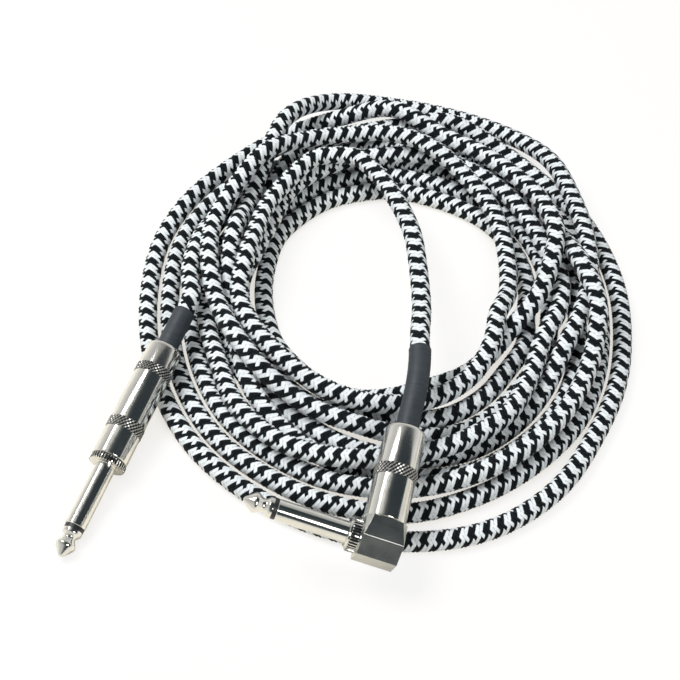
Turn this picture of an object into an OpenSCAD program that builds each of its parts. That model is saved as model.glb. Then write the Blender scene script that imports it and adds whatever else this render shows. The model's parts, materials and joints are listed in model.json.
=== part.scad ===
// Instrument cable: a braided cord in a loose coil, with a straight plug at one end and a right-angle plug at
// the other.
// Millimetres, +Z up. The floor is z = 0, under the middle of the two plugs.

/* [Cord] */
// Outside diameter of the braided cord
cord_d = 6.2; // [6:0.05:6.3]
// Outside diameter of the heat-shrink sleeves at the plugs
sleeve_d = 7; // [6.8:0.1:7.2]
// Height of the cord's axis where it lies on the floor
cord_rest = 2.5; // [2.4:0.05:3.1]

/* [Coil] */
// Middle of the coil, to the right of the plugs' middle
coil_x = 48; // [48:0.5:50]
// Middle of the coil, behind the plugs' middle
coil_y = 66; // [66:0.5:67.5]
// Free space that the settled loops aim to keep between two axes, beyond the cord's diameter
loop_room = 1.05; // [1:0.05:1.1]
// Rounds of settling
settle_rounds = 120; // [110:5:125]

/* [Plugs] */
// Diameter of a quarter-inch prong
prong_d = 6.35; // [6.3:0.01:6.35]
// Length of a prong from its shoulder to the tip's point
prong_len = 31; // [30.5:0.1:31.5]
// How far a knurled band stands above its shell
knurl_rise = 0.25; // [0.1:0.05:0.4]
// Crest diameter of the thread that holds a shell
thread_d = 8.8; // [8.6:0.1:9]
// Pitch of that thread
thread_pitch = 1; // [0.75:0.25:1.25]
// Length of that thread
thread_len = 6; // [5:0.5:6]

/* [Straight plug] */
// Outside diameter of the straight plug's shell
straight_shell_d = 11.4; // [11:0.1:11.6]
// Length of the straight plug's shell
straight_shell_len = 41.5; // [40:0.5:42]
// Heading of the prong, turned from the viewer's side to the left
straight_heading = 21.3; // [20:0.1:22]
// Rise of the plug from its tip to its cord
straight_rise = 8.25; // [8:0.25:8.5]

/* [Right-angle plug] */
// Outside diameter of the right-angle plug's shell
angled_shell_d = 12.5; // [12.2:0.1:12.6]
// Length of the right-angle plug's shell
angled_shell_len = 30; // [29:0.5:31]
// Distance from the shoulder of the prong to the shell's axis
angled_reach = 9.8; // [9.6:0.1:10.2]
// Bend of the sleeve behind the shell
sleeve_bend = 18.5; // [15:0.5:20]
// Radius of that bend
sleeve_bend_r = 58; // [55:1:62]

/* [Hidden] */
$fn = 64;

NICKEL = [0.80, 0.79, 0.75];
BRASS = [0.78, 0.62, 0.32];
BLACK = [0.08, 0.08, 0.09];
SLATE = [0.27, 0.30, 0.31];
BRAID = [0.55, 0.56, 0.57];
CLEAR = [0.85, 0.86, 0.84];
SOLDER = [0.66, 0.67, 0.68];

// Prong: distances from the shoulder, the tip's side negative
tip_ring_front = -22.4;
tip_ring_back = -21.1;
rod_d = 2;
rod_insulator_d = 3.6;
rivet_d = 3.2;
tip_base_d = 6;
lug_t = 0.6;
tongue_face = -2.1;
lug_hole_d = 1.1;
wire_y = -1.4;
wire_d = 0.9;
tail_y = cord_d / 2 - 0.9;
tail_d = 1.6;

// Straight plug: distances from the shoulder towards the cord
flange_len = 2;
flange_d = 11.8;
flange_teeth = 40;
shell_gap = 0.2;
thread_start = flange_len;
thread_end = thread_start + thread_len;
thread_clearance = 0.05;
shell_bore = 9.8;
shell_mouth = 7.7;
shell_end_wall = 3;
liner_od = 9.4;
liner_id = 8.6;
clamp_ring_t = 0.8;
washer_t = 1;
washer_start = thread_end + 0.8;
cord_end_start = thread_end + 16;
straight_shell_start = flange_len + shell_gap;
straight_shell_end = straight_shell_start + straight_shell_len;
straight_sleeve_start = straight_shell_end - 6;
straight_sleeve_end = straight_shell_end + 14.4;

// Right-angle plug: distances along the shell's axis from the block's flat end towards the cord
block_end = 5.7;
block_half = 6.1;
stub_bore = 6;
angled_shell_end = shell_gap + angled_shell_len;
angled_sleeve_start = angled_shell_end - 8;
angled_sleeve_turn = angled_shell_end + 10.3;
angled_cord_end_start = thread_len + 10;

// Right-angle plug: distances along the prong's axis from its shoulder towards the block
flange_t = 0.6;
neck_d = 8.6;
stem_d = 5.8;
stem_end = angled_reach - 3.2;
collar_d = 10.4;
collar_end = 3.3;
collar_teeth = 36;
angled_washer_start = angled_reach - 1.4;

// Places and turns of the plugs: the straight plug rests on the floor with the widest part of its tip
bulb_back = prong_len - 3.6;
bulb_d = 6.1;
straight_shoulder = [-43.2, -8.1, bulb_back * sin(straight_rise) + bulb_d / 2 * cos(straight_rise)];
straight_turn = [straight_rise - 90, 0, -straight_heading];
angled_centre = [39.2, -39.7, 16];
angled_turn = [10, 16.5, -11];

// ---------------------------------------------------------------- vectors and placing

function unit(v) = v / norm(v);
function about_x(v, a) = [v[0], v[1] * cos(a) - v[2] * sin(a), v[1] * sin(a) + v[2] * cos(a)];
function about_y(v, a) = [v[0] * cos(a) + v[2] * sin(a), v[1], v[2] * cos(a) - v[0] * sin(a)];
function about_z(v, a) = [v[0] * cos(a) - v[1] * sin(a), v[0] * sin(a) + v[1] * cos(a), v[2]];
function turned(v, turn) = about_z(about_y(about_x(v, turn[0]), turn[1]), turn[2]);

// A point on the straight plug's axis, and a point or direction of the right-angle plug's barrel
function on_straight(along) = straight_shoulder + turned([0, 0, along], straight_turn);
function barrel_turned(v) = turned(about_x(v, -90), angled_turn);
function on_barrel(v) = angled_centre + barrel_turned(v + [0, 0, block_end]);

module place_straight() translate(straight_shoulder) rotate(straight_turn) children();
module place_angled() translate(angled_centre) rotate(angled_turn) children();
module place_angled_prong() place_angled() translate([-angled_reach, 0, 0]) rotate([0, 90, 0]) children();
module place_barrel() place_angled() translate([0, block_end, 0]) rotate([-90, 0, 0]) children();

module span(from, to, d) translate([0, 0, from]) cylinder(h = to - from, d = d);

module pipe(from, to, outer, inner) difference() {
    span(from, to, outer);
    span(from - 1, to + 1, inner);
}

// ---------------------------------------------------------------- the coil's route

// How far each loop lies from the coil's middle, in eight directions 45 degrees apart, counter-clockwise
// from 105 degrees. The loop at the right-angle plug is first and the loop at the straight plug is last.
LOOP_REACH = [
    [58, 52, 55, 57, 50, 38, 38, 50],
    [65, 65, 61, 61, 63, 53, 51, 51],
    [54, 55, 66, 75, 69, 56, 53, 56],
    [58, 53, 53, 56, 56, 45, 44, 48],
    [50, 49, 48, 50, 42, 44, 55, 61],
    [79, 85, 84, 94, 97, 79, 73, 75],
    [72, 62, 61, 66, 69, 61, 66, 83],
    [86, 61, 59, 68, 76, 64, 58, 61],
    [62, 69, 72, 79, 80, 70, 58, 62],
    [69, 77, 79, 86, 83, 72, 66, 68],
    [76, 68, 71],
];
// Which loop lies over which, in the same directions: a higher number lies over a lower one
LOOP_RANK = [
    [4, 5, 5, 4, 1, 3, 3, 4],
    [3, 3, 3, 2, 0, 0, 0, 1],
    [0, 0, 1, 3, 2, 1, 1, 1],
    [2, 1, 1, 1, 0, 0, 0, 0],
    [1, 0, 0, 0, 0, 2, 3, 3],
    [1, 1, 1, 0, 0, 0, 0, 0],
    [1, 0, 0, 0, 0, 1, 1, 0],
    [2, 2, 1, 1, 0, 0, 0, 0],
    [0, 0, 0, 1, 1, 2, 1, 1],
    [0, 0, 0, 0, 0, 0, 0, 0],
    [0, 1, 1],
];
table_angle = 105;
per_loop = 24;
station_angle = 360 / per_loop;
stations_per_entry = 3;
coil_first_angle = 120;
coil_stations = 10 * per_loop + 5;
coil_last = coil_stations - 1;
coil_last_angle = coil_first_angle + coil_last * station_angle;
first_height = 17.5;
last_height = 14.5;
// Settling: pull towards the wanted reach, weight, stiffness of the cord and of a contact
settle_pull = 0.06;
settle_weight = 0.25;
settle_bend = 0.2;
settle_contact = 0.4;
settle_fade = 0.75;

reach_row = [for (row = LOOP_REACH) each row];
rank_row = [for (row = LOOP_RANK) each row];
rank_pairs = [for (i = [0 : len(rank_row) - 1]) [i, rank_row[i]]];

function table_place(i) = (i + (coil_first_angle - table_angle) / station_angle) / stations_per_entry;
function curve(p, q, r, s, u) =
    (2 * q + (r - p) * u + (2 * p - 5 * q + 4 * r - s) * u * u + (3 * q - p - 3 * r + s) * u * u * u) / 2;
function along(row, place) =
    let (k = floor(place), last = len(row) - 1)
    curve(row[max(k - 1, 0)], row[k], row[min(k + 1, last)], row[min(k + 2, last)], place - k);

function loop_of(i) = floor(i / per_loop);
wanted = [for (i = [0 : coil_last]) along(reach_row, table_place(i))];
rank = [for (i = [0 : coil_last]) lookup(table_place(i), rank_pairs) - 0.02 * loop_of(i)];
room = cord_d + loop_room;

// The push on a strand at a from a strand at b, each [reach, height]: upright where they lie one on the
// other, and straight apart where they lie side by side. over is 1 for the upper strand and -1 for the lower.
function push(a, b, over) =
    let (d = a - b, far = norm(d))
    abs(d[0]) >= room ? [0, 0] :
    abs(d[0]) < room / 2 ? [0, over * max(0, sqrt(room * room - d[0] * d[0]) - over * d[1])] :
    far >= room ? [0, 0] : d * (room - far) / far;

// The push on station i from station j of another loop, and half of each push midway to its neighbours
function pair_push(p, i, j) = [for (k = [-1 : 1]) k == 0 ? 1 : 0.5] * [
    for (k = [-1 : 1])
        j + k < 0 || j + k > coil_last ? [0, 0] :
        push(
            (p[i] + p[i + k]) / 2,
            (p[j] + p[j + k]) / 2,
            rank[i] + rank[i + k] > rank[j] + rank[j + k] ? 1 : -1
        )
];

function moved(p, i, fade) =
    let (
        near = [
            for (j = [i % per_loop : per_loop : coil_last])
                if (j != i && abs(p[j][0] - p[i][0]) < 2 * room) j
        ],
        total = settle_contact * ([for (j = near) 1] * [for (j = near) pair_push(p, i, j)]),
        level = (p[i - 1][1] + p[i + 1][1]) / 2,
        push = len(near) > 0 ? total : [0, 0]
    )
    [
        p[i][0] + push[0] + settle_pull * fade * (wanted[i] - p[i][0]),
        max(cord_rest, p[i][1] + push[1] + fade * (settle_bend * (level - p[i][1]) - settle_weight)),
    ];

function settled(p, n = 0) =
    n == settle_rounds ? p :
    let (fade = max(0, 1 - n / (settle_fade * settle_rounds)))
    settled([for (i = [0 : coil_last]) i == 0 || i == coil_last ? p[i] : moved(p, i, fade)], n + 1);

first_station = [wanted[0], first_height];
last_station = [wanted[coil_last], last_height];
function laid() = [
    first_station,
    for (i = [1 : coil_last - 1]) [wanted[i], cord_rest + rank[i] * cord_d * 0.9],
    last_station,
];
function coil_point(station, angle) =
    [coil_x + station[0] * cos(angle), coil_y + station[0] * sin(angle), station[1]];

// Both ends run straight on for one diameter
first_way = [cos(190), sin(190), 0];
last_way = [-sin(coil_last_angle), cos(coil_last_angle), 0];
coil_start = coil_point(first_station, coil_first_angle) - cord_d * first_way;
coil_end = coil_point(last_station, coil_last_angle) + cord_d * last_way;

function coil_route() =
    let (p = settled(laid()))
    [
        coil_start,
        for (i = [0 : coil_last]) coil_point(p[i], coil_first_angle + i * station_angle),
        coil_end,
    ];

// Distance from a point to the stretch between a and b
function off_stretch(p, a, b) =
    let (ab = b - a, t = min(1, max(0, (p - a) * ab / (ab * ab))))
    norm(p - a - t * ab);

// Least free space between one loop and another, tested at each ring and midway between rings
function least_gap(route) = min([
    for (i = [1 : len(route) - 2])
        for (p = [route[i], (route[i] + route[i + 1]) / 2])
            for (j = [i % per_loop : per_loop : len(route) - 2])
                if (abs(j - i) > 1)
                    for (k = [max(j - 1, 0) : min(j, len(route) - 2)]) off_stretch(p, route[k], route[k + 1])
]) - cord_d;

// ---------------------------------------------------------------- tubes

// Sides of a ring: its first side lies flat underneath
function ring(p, way, r, sides) =
    let (side = unit(cross(way, [0, 0, 1])), up = cross(side, way))
    [for (k = [0 : sides - 1]) let (a = (k + 0.5) * 360 / sides - 90) p + r * (cos(a) * side + sin(a) * up)];

function way_at(route, i) =
    i == 0 ? unit(route[1] - route[0]) :
    i == len(route) - 1 ? unit(route[i] - route[i - 1]) :
    unit(unit(route[i + 1] - route[i]) + unit(route[i] - route[i - 1]));

// A tube along the route, never below the floor
module tube(route, sides, d = cord_d) {
    points = [
        for (i = [0 : len(route) - 1])
            for (q = ring(route[i], way_at(route, i), d / 2, sides)) [q[0], q[1], max(q[2], 0)]
    ];
    last = (len(route) - 1) * sides;
    faces = [
        for (i = [0 : len(route) - 2])
            for (k = [0 : sides - 1])
                let (a = i * sides + k, b = i * sides + (k + 1) % sides)
                each [[a, b, b + sides], [a, b + sides, a + sides]],
        for (k = [1 : sides - 2]) each [[0, k + 1, k], [last, last + k, last + k + 1]],
    ];
    polyhedron(points = points, faces = faces);
}

// Points that a free stretch passes, rounded off to halves of each step
function softened(route) = [
    route[0],
    route[1],
    for (i = [1 : len(route) - 3]) each [
        curve(route[i - 1], route[i], route[i + 1], route[i + 2], 0.5),
        route[i + 1],
    ],
    route[len(route) - 1],
];

// The straight plug's lead, from the coil to the sleeve
straight_lead_end = on_straight(straight_sleeve_end);
straight_lead_way = turned([0, 0, 1], straight_turn);
STRAIGHT_LEAD = [
    coil_end,
    coil_end + 4 * last_way,
    straight_lead_end + 5 * straight_lead_way,
    straight_lead_end,
];

// The right-angle plug's lead, from the start of the sleeve's bend to the coil
sleeve_lean = 24;
function bend_point(t) =
    let (off = sleeve_bend_r * (1 - cos(t * sleeve_bend)), ahead = sleeve_bend_r * sin(t * sleeve_bend))
    on_barrel([-off * sin(sleeve_lean), off * cos(sleeve_lean), angled_sleeve_turn + ahead]);
SLEEVE_BEND = [for (t = [0.2 : 0.2 : 1]) bend_point(t)];
ANGLED_LEAD = [
    on_barrel([0, 0, angled_sleeve_turn]),
    on_barrel([0, 0, angled_sleeve_turn + 1]),
    each SLEEVE_BEND,
    [53, 30.5, 24],
    [54, 41, 21.5],
    [54, 53, 20],
    [53.5, 65, 19],
    [52.5, 76, 18.5],
    [50, 86, 18],
    [46.5, 95, 18],
    [42.5, 103, 18],
    [38.5, 109, 18],
    [34, 114, 18],
    coil_start - 4 * first_way,
    coil_start,
];

module cord_coil() color(BRAID) {
    route = coil_route();
    echo(coil_least_gap = least_gap(route), coil_highest = max([for (p = route) p[2]]) + cord_d / 2);
    tube(route, 6);
}

module lead_straight() color(BRAID) tube(softened(STRAIGHT_LEAD), 12);
module lead_angled() color(BRAID) tube(softened(ANGLED_LEAD), 12);

// ---------------------------------------------------------------- pieces of a prong, tip along -Z

module prong_tip(rod_end) color(NICKEL) rotate_extrude() polygon([
    [0, -prong_len], [0.7, -prong_len + 0.15], [1.1, -prong_len + 0.6], [2.95, -prong_len + 3.1],
    [bulb_d / 2, -bulb_back], [2.9, -prong_len + 4.2], [1.95, -prong_len + 5.8], [1.95, -prong_len + 6.4],
    [tip_base_d / 2 - 0.1, tip_ring_front - 1.3], [tip_base_d / 2, tip_ring_front - 1],
    [tip_base_d / 2, tip_ring_front],
    [rod_d / 2, tip_ring_front], [rod_d / 2, rod_end], [rivet_d / 2, rod_end],
    [rivet_d / 2 - 0.3, rod_end + 0.7], [0, rod_end + 0.7],
]);

module prong_ring() color(BLACK) pipe(tip_ring_front, tip_ring_back, tip_base_d, rod_d);

module prong_rod_insulator(back) color(CLEAR) pipe(tip_ring_back, back, rod_insulator_d, rod_d);

// A disc whose edge is cut into teeth
module toothed(from, to, d, teeth) translate([0, 0, from]) linear_extrude(to - from) polygon([
    for (k = [0 : teeth - 1])
        for (q = [[0, -0.35], [0.3, 0], [0.5, 0], [0.8, -0.35]])
            let (a = (k + q[0]) * 360 / teeth, r = d / 2 + q[1]) [r * cos(a), r * sin(a)]
]);

// A male thread as a row of crests, on a core one thread depth smaller
module thread(from, to) {
    depth = 0.3;
    crests = floor((to - from) / thread_pitch);
    span(from, to, thread_d - 2 * depth);
    for (k = [0 : crests - 1]) translate([0, 0, from + k * thread_pitch]) rotate_extrude() polygon([
        [0, 0.1], [thread_d / 2 - depth, 0.1], [thread_d / 2, 0.35], [thread_d / 2, 0.55],
        [thread_d / 2 - depth, 0.8], [0, 0.8],
    ]);
}

// ---------------------------------------------------------------- pieces behind a prong, cord along +Z

// A ring with a tongue bent back along the axis, and a solder hole in the tongue
module tip_lug(from, tongue_end, lug_ring_d) color(BRASS) {
    pipe(from, from + lug_t, lug_ring_d, rod_d);
    difference() {
        translate([-1.3, tongue_face - lug_t, from]) cube([2.6, lug_t, tongue_end - from]);
        translate([0, 0, tongue_end - 3]) rotate([90, 0, 0]) cylinder(h = 9, d = lug_hole_d);
    }
}

// A ground strap: a ring at the thread, a strip along the cord and two claws round its jacket
module cord_clamp(from, to, ring_od, ring_id) color(BRASS) {
    strip_y = cord_d / 2;
    claw_len = 5;
    pipe(from, from + clamp_ring_t, ring_od, ring_id);
    difference() {
        translate([-1.5, strip_y, from]) cube([3, clamp_ring_t, to - from]);
        span(from - 1, to + 1, cord_d);
    }
    difference() {
        pipe(to - claw_len, to, cord_d + 2 * clamp_ring_t, cord_d);
        translate([-5, -6, to - claw_len - 1]) cube([10, 5, claw_len + 2]);
    }
}

module shell_form(shell_d, from, to, knurls) color(NICKEL) difference() {
    union() {
        rotate_extrude() polygon([
            [0, from], [shell_d / 2 - 0.4, from], [shell_d / 2, from + 0.4], [shell_d / 2, to - 1.4],
            [shell_d / 2 - 0.2, to - 0.7], [shell_d / 2 - 0.6, to - 0.2], [shell_d / 2 - 1.1, to], [0, to],
        ]);
        for (k = knurls) translate([0, 0, k[0]]) rotate_extrude() polygon([
            [0, 0], [shell_d / 2, 0], [shell_d / 2 + knurl_rise, knurl_rise],
            [shell_d / 2 + knurl_rise, k[1] - knurl_rise], [shell_d / 2, k[1]], [0, k[1]],
        ]);
    }
    span(from - 1, from + thread_len + 0.6, thread_d + 2 * thread_clearance);
    span(from + thread_len + 0.5, to - shell_end_wall, shell_bore);
    span(to - shell_end_wall - 1, to + 1, shell_mouth);
}

module liner_form(from, to) color(CLEAR) pipe(from, to, liner_od, liner_id);

// Twisted shield wires from the cord's end down to the strip
module shield_tail(cord_start, reach) color(NICKEL)
    translate([0, tail_y, cord_start - reach]) cylinder(h = reach, d = tail_d);

// The inner conductor: insulation, then bare wire beside the tongue
module core(bare_start, insulation_start, cord_start) color(CLEAR) translate([0, wire_y, 0]) {
    span(insulation_start, cord_start, 2.2);
    span(bare_start, insulation_start, wire_d);
}

// A drop of solder round a wire at wire_place along Y, cut off flat at a face on one side of it
module bead(d, wire_place, wire_size, z, face, side) color(SOLDER) difference() {
    translate([0, wire_place, z]) rotate_extrude() polygon([
        [0, -d / 2], [d / 4, -d / 2], [d / 2, -d / 4], [d / 2, d / 4], [d / 4, d / 2], [0, d / 2],
    ]);
    translate([-d, side > 0 ? face - 2 * d : face, z - d]) cube(2 * d);
    translate([0, wire_place, 0]) span(z - d, z + d, wire_size);
}
module wire_bead(z) bead(1.8, wire_y, wire_d, z, tongue_face, 1);
module strip_bead(z) bead(2.8, tail_y, tail_d, z, cord_d / 2, -1);

// ---------------------------------------------------------------- straight plug

straight_rod_end = thread_end + 2.4;

module tip_straight() place_straight() prong_tip(straight_rod_end);
module tip_ring_straight() place_straight() prong_ring();
module rod_insulator_straight() place_straight() prong_rod_insulator(washer_start);
module prong_sleeve_straight() place_straight() color(NICKEL) difference() {
    union() {
        span(tip_ring_back, flange_len, prong_d);
        toothed(0, flange_len, flange_d, flange_teeth);
        thread(thread_start, thread_end);
    }
    span(tip_ring_back - 1, thread_end + 1, rod_insulator_d);
}
module rear_washer_straight() place_straight() color(BLACK)
    pipe(washer_start, washer_start + washer_t, 5.6, rod_d);
module tip_lug_straight() place_straight() tip_lug(washer_start + washer_t, thread_end + 8, 4.4);
module cord_clamp_straight() place_straight() cord_clamp(thread_end, thread_end + 24, 7.8, rod_insulator_d);
module liner_straight() place_straight()
    liner_form(thread_end + 1.5, straight_shell_end - shell_end_wall - 0.3);
module shell_straight() place_straight()
    shell_form(straight_shell_d, straight_shell_start, straight_shell_end, [[11.4, 4], [32, 3.6]]);
module heat_shrink_straight() place_straight() color(SLATE)
    pipe(straight_sleeve_start, straight_sleeve_end, sleeve_d, cord_d);
module cord_end_straight() place_straight() color(BRAID) span(cord_end_start, straight_sleeve_end, cord_d);
module core_straight() place_straight() core(thread_end + 4.5, thread_end + 8, cord_end_start);
module shield_tail_straight() place_straight() shield_tail(cord_end_start, 6);
module solder_straight() place_straight() {
    wire_bead(thread_end + 5);
    strip_bead(cord_end_start - 4);
}

// ---------------------------------------------------------------- right-angle plug

angled_rod_end = angled_reach + 0.6;

module tip_angled() place_angled_prong() prong_tip(angled_rod_end);
module tip_ring_angled() place_angled_prong() prong_ring();
module rod_insulator_angled() place_angled_prong() prong_rod_insulator(angled_washer_start);
module prong_sleeve_angled() place_angled_prong() color(NICKEL) difference() {
    union() {
        span(tip_ring_back, flange_t, prong_d);
        span(0, flange_t, neck_d);
        span(0, stem_end, stem_d);
    }
    span(tip_ring_back - 1, angled_reach, rod_insulator_d);
}
module toothed_collar_angled() place_angled_prong() color(NICKEL) difference() {
    union() {
        toothed(flange_t, collar_end, collar_d, collar_teeth);
        span(collar_end, angled_reach - block_half, neck_d);
    }
    span(0, angled_reach, stem_d);
}

// The block's outline across the shell's axis at one distance along it: half its width at the top, half its
// width below, and its top and bottom heights
BLOCK_SECTIONS = [
    [block_end, 4.4, block_half, 5.9, -5.6],
    [3.2, 4.9, block_half, 6.1, -5.6],
    [-0.9, 6.05, block_half, 5.7, -5.6],
    [-4.2, 6.05, block_half, 3.2, -5.6],
    [-5.8, 6.05, block_half, 1.9, -4.6],
];
module block_section(s) translate([0, s[0], 0]) rotate([90, 0, 0]) linear_extrude(0.01) polygon([
    [-s[2], s[4]], [s[2], s[4]], [s[2], s[3] - 1.8], [s[1], s[3]], [-s[1], s[3]], [-s[2], s[3] - 1.8],
]);
module body_block_angled() place_angled() color(NICKEL) difference() {
    union() {
        hull() for (s = BLOCK_SECTIONS) block_section(s);
        translate([0, block_end, 0]) rotate([-90, 0, 0]) thread(-0.1, thread_len);
    }
    translate([0, -3, 0]) rotate([-90, 0, 0]) cylinder(h = 30, d = stub_bore);
    translate([-block_half - 1, 0, 0]) rotate([0, 90, 0]) cylinder(h = block_half + 1, d = stem_d);
}
module rear_washer_angled() place_angled_prong() color(BLACK)
    pipe(angled_washer_start, angled_reach, 4.4, rod_d);
module tip_lug_angled() place_angled() color(BRASS) {
    lug_end = block_end + thread_len + 6;
    difference() {
        union() {
            rotate([0, 90, 0]) cylinder(h = lug_t, d = 4.4);
            translate([0, 0, -1.2]) cube([lug_t, lug_end, 2.4]);
        }
        translate([-1, 0, 0]) rotate([0, 90, 0]) cylinder(h = 3, d = rod_d);
        translate([-1, lug_end - 2, 0]) rotate([0, 90, 0]) cylinder(h = 3, d = lug_hole_d);
    }
}
module cord_clamp_angled() place_barrel() cord_clamp(thread_len, thread_len + 15.5, 7.8, stub_bore);
module liner_angled() place_barrel() liner_form(thread_len + 1.5, angled_shell_end - shell_end_wall - 0.3);
module shell_angled() place_barrel() shell_form(angled_shell_d, shell_gap, angled_shell_end, [[13.4, 4]]);

// The sleeve runs straight out of the shell and bends over with the cord
module heat_shrink_angled() color(SLATE) difference() {
    tube([
        on_barrel([0, 0, angled_sleeve_start]),
        on_barrel([0, 0, angled_sleeve_turn]),
        each SLEEVE_BEND,
    ], 32, sleeve_d);
    tube([
        on_barrel([0, 0, angled_sleeve_start - 1]),
        on_barrel([0, 0, angled_sleeve_turn]),
        each SLEEVE_BEND,
        bend_point(1.1),
    ], 32, cord_d + 0.1);
}
module cord_end_angled() place_barrel() color(BRAID) span(angled_cord_end_start, angled_sleeve_turn, cord_d);
module beside_tongue() translate([lug_t - tongue_face, 0, 0]) rotate([0, 0, -90]) children();
module core_angled() place_barrel() beside_tongue()
    core(thread_len + 2, thread_len + 6, angled_cord_end_start);
module shield_tail_angled() place_barrel() shield_tail(angled_cord_end_start, 5);
module solder_angled() place_barrel() {
    beside_tongue() wire_bead(thread_len + 4);
    strip_bead(angled_cord_end_start - 3);
}

cord_coil();
lead_straight();
lead_angled();
tip_straight();
tip_ring_straight();
rod_insulator_straight();
prong_sleeve_straight();
rear_washer_straight();
tip_lug_straight();
cord_clamp_straight();
liner_straight();
shell_straight();
heat_shrink_straight();
cord_end_straight();
core_straight();
shield_tail_straight();
solder_straight();
tip_angled();
tip_ring_angled();
rod_insulator_angled();
prong_sleeve_angled();
toothed_collar_angled();
body_block_angled();
rear_washer_angled();
tip_lug_angled();
cord_clamp_angled();
liner_angled();
shell_angled();
heat_shrink_angled();
cord_end_angled();
core_angled();
shield_tail_angled();
solder_angled();
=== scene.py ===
"""Instrument cable: the braided cord and the finish of its two plugs."""

import json
import math

import bmesh
import bpy
from bpy.props import FloatProperty, FloatVectorProperty, IntProperty, PointerProperty
from mathutils import Matrix, Vector


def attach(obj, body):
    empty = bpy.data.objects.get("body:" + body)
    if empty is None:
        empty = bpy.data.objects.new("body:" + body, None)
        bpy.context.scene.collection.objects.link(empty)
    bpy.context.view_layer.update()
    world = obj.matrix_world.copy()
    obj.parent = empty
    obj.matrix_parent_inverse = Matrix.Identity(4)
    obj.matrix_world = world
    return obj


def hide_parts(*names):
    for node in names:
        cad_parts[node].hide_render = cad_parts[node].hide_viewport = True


bl_info = {
    "name": "Instrument cable",
    "version": (1, 0, 0),
    "blender": (4, 5, 0),
    "location": "3D View > Sidebar > Cable",
    "description": "Braids the cord of an instrument cable and finishes its plugs",
    "category": "Object",
}

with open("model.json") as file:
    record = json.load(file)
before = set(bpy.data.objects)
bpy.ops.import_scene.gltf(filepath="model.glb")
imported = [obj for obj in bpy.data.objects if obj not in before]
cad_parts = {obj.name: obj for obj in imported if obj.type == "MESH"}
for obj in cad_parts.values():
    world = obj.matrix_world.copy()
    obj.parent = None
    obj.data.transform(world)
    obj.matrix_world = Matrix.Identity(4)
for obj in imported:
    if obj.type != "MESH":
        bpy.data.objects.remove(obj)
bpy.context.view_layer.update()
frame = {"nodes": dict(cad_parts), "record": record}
NODES = frame["nodes"]
MM = 0.001


def tint(red, green, blue):
    """A colour given as it looks on a screen, 0 to 255, as the linear colour that a shader takes."""
    parts = (value / 255 for value in (red, green, blue))
    return tuple(c / 12.92 if c <= 0.04045 else ((c + 0.055) / 1.055) ** 2.4 for c in parts)


# ------------------------ sizes and colours


class CordSettings(bpy.types.PropertyGroup):
    diameter: FloatProperty(
        name="Diameter", description="Across the braid",
        default=6.2 * MM, min=1 * MM, unit="LENGTH",
    )
    lay: FloatProperty(
        name="Lay", description="Length in which a yarn goes once round",
        default=10.6 * MM, min=5 * MM, unit="LENGTH",
    )
    yarns: IntProperty(
        name="Yarns each way", description="Yarns that wind in each direction, in fours",
        default=8, min=4, max=16, step=4,
    )
    relief: FloatProperty(
        name="Relief", description="Height of a yarn's back above its edges",
        default=0.28 * MM, min=0, unit="LENGTH",
    )
    wander: FloatProperty(
        name="Wander", description="How far the braid turns to and fro along the cord",
        default=0.55, subtype="ANGLE",
    )
    stretch: FloatProperty(
        name="Stretch", description="How far the lay grows and shrinks along the cord",
        default=0.12, min=0, max=0.3,
    )
    pale: FloatVectorProperty(
        name="Pale yarn", description="Colour of the pale yarns",
        default=tint(240, 245, 247), size=3, subtype="COLOR",
    )
    dark: FloatVectorProperty(
        name="Dark yarn", description="Colour of the dark yarns",
        default=tint(27, 34, 38), size=3, subtype="COLOR",
    )


class PlugSettings(bpy.types.PropertyGroup):
    knurl_pitch: FloatProperty(
        name="Knurl pitch", description="Width of a knurl's diamonds",
        default=1.25 * MM, min=0.3 * MM, unit="LENGTH",
    )
    knurl_depth: FloatProperty(
        name="Knurl depth", description="Height of a knurl's diamonds", default=0.3 * MM, min=0, unit="LENGTH"
    )
    turning_steps: IntProperty(
        name="Turning steps", description="Faces round a turned piece", default=96, min=24, max=256
    )
    polish: FloatProperty(
        name="Polish", description="Roughness of the plating",
        default=0.12, min=0.02, max=1,
    )
    block_bevel: FloatProperty(
        name="Block bevel", description="Width of the block's rounded edges",
        default=0.06 * MM, min=0, unit="LENGTH",
    )
    nickel: FloatVectorProperty(
        name="Nickel", description="Colour of the plated pieces",
        default=(0.74, 0.73, 0.68), size=3, subtype="COLOR",
    )
    cast_nickel: FloatVectorProperty(
        name="Cast nickel", description="Colour of the duller cast block",
        default=(0.60, 0.60, 0.56), size=3, subtype="COLOR",
    )
    sleeve: FloatVectorProperty(
        name="Heat-shrink", description="Colour of the sleeves",
        default=tint(47, 54, 60), size=3, subtype="COLOR",
    )


class StudioSettings(bpy.types.PropertyGroup):
    key: FloatProperty(name="Key", description="Power of the large lamp", default=8.4, min=0, unit="POWER")
    fill: FloatProperty(name="Fill", description="Strength of the light from all round", default=0.17, min=0)
    room: FloatProperty(
        name="Room", description="Brightness overhead of the room that polished metal shows",
        default=0.35, min=0,
    )
    floor: FloatVectorProperty(
        name="Floor",
        description="Colour of the floor as it lights the cable",
        default=(0.92, 0.88, 0.79),
        size=3,
        subtype="COLOR",
    )
    # The floor's painted shade, close under and between the strands
    gap: FloatVectorProperty(
        name="Gap", description="Colour of the floor deep between two strands",
        default=(0.8, 0.77, 0.7), size=3, subtype="COLOR",
    )
    ceiling: FloatVectorProperty(
        name="Ceiling",
        description="Colour of the dark ceiling that polished metal shows",
        default=tint(54, 62, 68),
        size=3,
        subtype="COLOR",
    )


# ------------------------ where the cord lies, in millimetres

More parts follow.
